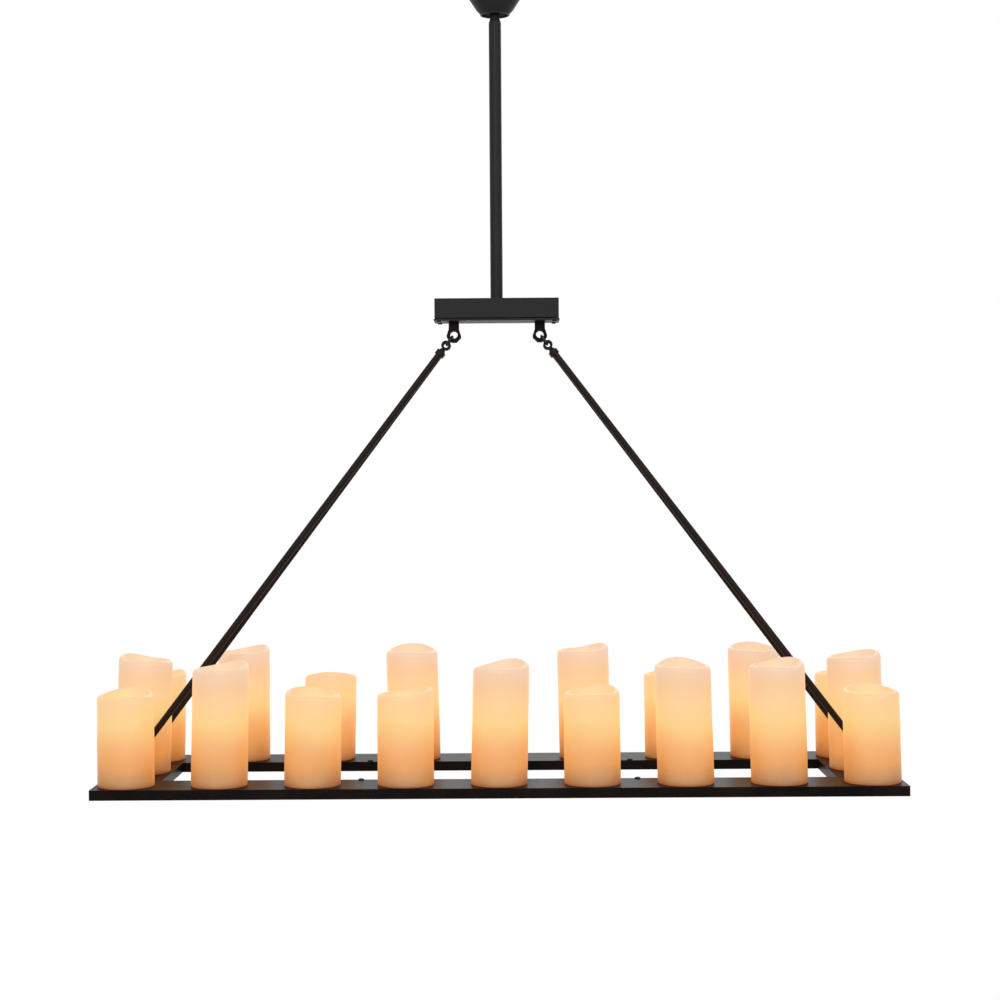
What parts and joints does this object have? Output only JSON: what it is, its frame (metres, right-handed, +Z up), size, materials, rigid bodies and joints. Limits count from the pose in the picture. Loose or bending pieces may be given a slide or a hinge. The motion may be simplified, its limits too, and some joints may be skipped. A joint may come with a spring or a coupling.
{
  "type": "linear island pendant",
  "caption": "Long rectangular ceiling pendant: candle-style lamps on a flat bar frame, hung by four rods from a small hub on a swivelling stem.",
  "frame": {"origin": "centre of the canopy's ceiling face, midway between the two fixing slots", "axes": "+X along the long frame to the right, +Y to the back, +Z up; the part hangs below the origin"},
  "size_m": [1.2, 0.369, 1.2524],
  "materials": {
    "frame_metal": "satin black-brown paint",
    "hub_metal": "matt charcoal paint",
    "bare_steel": "zinc-plated",
    "dark_fastener": "blackened",
    "sleeve_wax": "wax-like, translucent, lit from inside",
    "holder_plastic": "matt",
    "bulb_glass": "frosted",
    "seat_metal": "satin"
  },
  "bodies": {
    "ceiling": {"ceiling_crossbar": "bare_steel", "canopy": "hub_metal", "canopy_screws": "dark_fastener", "swivel_nipple": "bare_steel", "nipple_locknut": "bare_steel", "yoke_nut": "bare_steel"},
    "swivel_yoke": {"swivel_yoke": "bare_steel"},
    "swivel_cross": {"swivel_cross": "bare_steel"},
    "stem_and_hub": {"stem_clevis": "hub_metal", "stem_set_screw": "dark_fastener", "stem_tube": "hub_metal", "stem_nut": "bare_steel", "hub_box": "hub_metal", "hub_cover": "hub_metal", "hub_cover_screws": "dark_fastener", "lug_left": "hub_metal", "lug_right": "hub_metal", "lug_screws": "dark_fastener"},
    "left_rods": {"link_rings_left": "dark_fastener", "rod_left_front": "frame_metal", "rod_left_back": "frame_metal"},
    "right_rods": {"link_rings_right": "dark_fastener", "rod_right_front": "frame_metal", "rod_right_back": "frame_metal"},
    "frame": {"bar_front": "frame_metal", "bar_back": "frame_metal", "bar_left": "frame_metal", "bar_right": "frame_metal", "bottom_plate": "frame_metal", "plate_screws": "dark_fastener", "deck_screws": "dark_fastener", "foot_brackets_left": "frame_metal", "foot_brackets_right": "frame_metal", "foot_bolts": "dark_fastener", "candle_seats": "seat_metal", "lamp_holders": "holder_plastic", "bulbs": "bulb_glass"},
    "candle_front_1": {"candle_front_1": "sleeve_wax"},
    "candle_front_2": {"candle_front_2": "sleeve_wax"},
    "candle_front_3": {"candle_front_3": "sleeve_wax"},
    "candle_front_4": {"candle_front_4": "sleeve_wax"},
    "candle_front_5": {"candle_front_5": "sleeve_wax"},
    "candle_front_6": {"candle_front_6": "sleeve_wax"},
    "candle_front_7": {"candle_front_7": "sleeve_wax"},
    "candle_front_8": {"candle_front_8": "sleeve_wax"},
    "candle_front_9": {"candle_front_9": "sleeve_wax"},
    "candle_back_1": {"candle_back_1": "sleeve_wax"},
    "candle_back_2": {"candle_back_2": "sleeve_wax"},
    "candle_back_3": {"candle_back_3": "sleeve_wax"},
    "candle_back_4": {"candle_back_4": "sleeve_wax"},
    "candle_back_5": {"candle_back_5": "sleeve_wax"},
    "candle_back_6": {"candle_back_6": "sleeve_wax"},
    "candle_back_7": {"candle_back_7": "sleeve_wax"},
    "candle_back_8": {"candle_back_8": "sleeve_wax"},
    "candle_back_9": {"candle_back_9": "sleeve_wax"},
    "candle_left": {"candle_left": "sleeve_wax"},
    "candle_right": {"candle_right": "sleeve_wax"}
  },
  "joints": [
    {"name": "canopy_turn", "type": "hinge", "parent": "ceiling", "child": "swivel_yoke", "pos_m": [0, 0, -0.04], "axis": [0, 0, 1], "range_deg": [-175, 175]},
    {"name": "hang_tilt_front_back", "type": "hinge", "parent": "swivel_yoke", "child": "swivel_cross", "pos_m": [0, 0, -0.04], "axis": [1, 0, 0], "range_deg": [-13, 13]},
    {"name": "hang_tilt_left_right", "type": "hinge", "parent": "swivel_cross", "child": "stem_and_hub", "pos_m": [0, 0, -0.04], "axis": [0, 1, 0], "range_deg": [-13, 13]},
    {"name": "left_rods_swing", "type": "hinge", "parent": "stem_and_hub", "child": "left_rods", "pos_m": [-0.0665, 0, -0.5616], "axis": [0, 1, 0], "range_deg": [-4, 4]},
    {"name": "frame_level", "type": "hinge", "parent": "left_rods", "child": "frame", "pos_m": [-0.56, 0, -1.214], "axis": [0, 1, 0], "range_deg": [-1.2, 1.2]},
    {"name": "right_rods_swing", "type": "hinge", "parent": "frame", "child": "right_rods", "pos_m": [0.56, 0, -1.214], "axis": [0, 1, 0], "range_deg": [-1.2, 1.2]},
    {"name": "candle_front_1_lift", "type": "slide", "parent": "frame", "child": "candle_front_1", "axis": [0, 0, 1], "range_m": [0, 0.12]},
    {"name": "candle_front_2_lift", "type": "slide", "parent": "frame", "child": "candle_front_2", "axis": [0, 0, 1], "range_m": [0, 0.12]},
    {"name": "candle_front_3_lift", "type": "slide", "parent": "frame", "child": "candle_front_3", "axis": [0, 0, 1], "range_m": [0, 0.12]},
    {"name": "candle_front_4_lift", "type": "slide", "parent": "frame", "child": "candle_front_4", "axis": [0, 0, 1], "range_m": [0, 0.12]},
    {"name": "candle_front_5_lift", "type": "slide", "parent": "frame", "child": "candle_front_5", "axis": [0, 0, 1], "range_m": [0, 0.12]},
    {"name": "candle_front_6_lift", "type": "slide", "parent": "frame", "child": "candle_front_6", "axis": [0, 0, 1], "range_m": [0, 0.12]},
    {"name": "candle_front_7_lift", "type": "slide", "parent": "frame", "child": "candle_front_7", "axis": [0, 0, 1], "range_m": [0, 0.12]},
    {"name": "candle_front_8_lift", "type": "slide", "parent": "frame", "child": "candle_front_8", "axis": [0, 0, 1], "range_m": [0, 0.12]},
    {"name": "candle_front_9_lift", "type": "slide", "parent": "frame", "child": "candle_front_9", "axis": [0, 0, 1], "range_m": [0, 0.12]},
    {"name": "candle_back_1_lift", "type": "slide", "parent": "frame", "child": "candle_back_1", "axis": [0, 0, 1], "range_m": [0, 0.12]},
    {"name": "candle_back_2_lift", "type": "slide", "parent": "frame", "child": "candle_back_2", "axis": [0, 0, 1], "range_m": [0, 0.12]},
    {"name": "candle_back_3_lift", "type": "slide", "parent": "frame", "child": "candle_back_3", "axis": [0, 0, 1], "range_m": [0, 0.12]},
    {"name": "candle_back_4_lift", "type": "slide", "parent": "frame", "child": "candle_back_4", "axis": [0, 0, 1], "range_m": [0, 0.12]},
    {"name": "candle_back_5_lift", "type": "slide", "parent": "frame", "child": "candle_back_5", "axis": [0, 0, 1], "range_m": [0, 0.12]},
    {"name": "candle_back_6_lift", "type": "slide", "parent": "frame", "child": "candle_back_6", "axis": [0, 0, 1], "range_m": [0, 0.12]},
    {"name": "candle_back_7_lift", "type": "slide", "parent": "frame", "child": "candle_back_7", "axis": [0, 0, 1], "range_m": [0, 0.12]},
    {"name": "candle_back_8_lift", "type": "slide", "parent": "frame", "child": "candle_back_8", "axis": [0, 0, 1], "range_m": [0, 0.12]},
    {"name": "candle_back_9_lift", "type": "slide", "parent": "frame", "child": "candle_back_9", "axis": [0, 0, 1], "range_m": [0, 0.12]},
    {"name": "candle_left_lift", "type": "slide", "parent": "frame", "child": "candle_left", "axis": [0, 0, 1], "range_m": [0, 0.12]},
    {"name": "candle_right_lift", "type": "slide", "parent": "frame", "child": "candle_right", "axis": [0, 0, 1], "range_m": [0, 0.12]}
  ],
  "couplings": [
    {"joint": "frame_level", "follows": "left_rods_swing", "ratio": -0.11875},
    {"joint": "right_rods_swing", "follows": "left_rods_swing", "ratio": 0.11875}
  ]
}
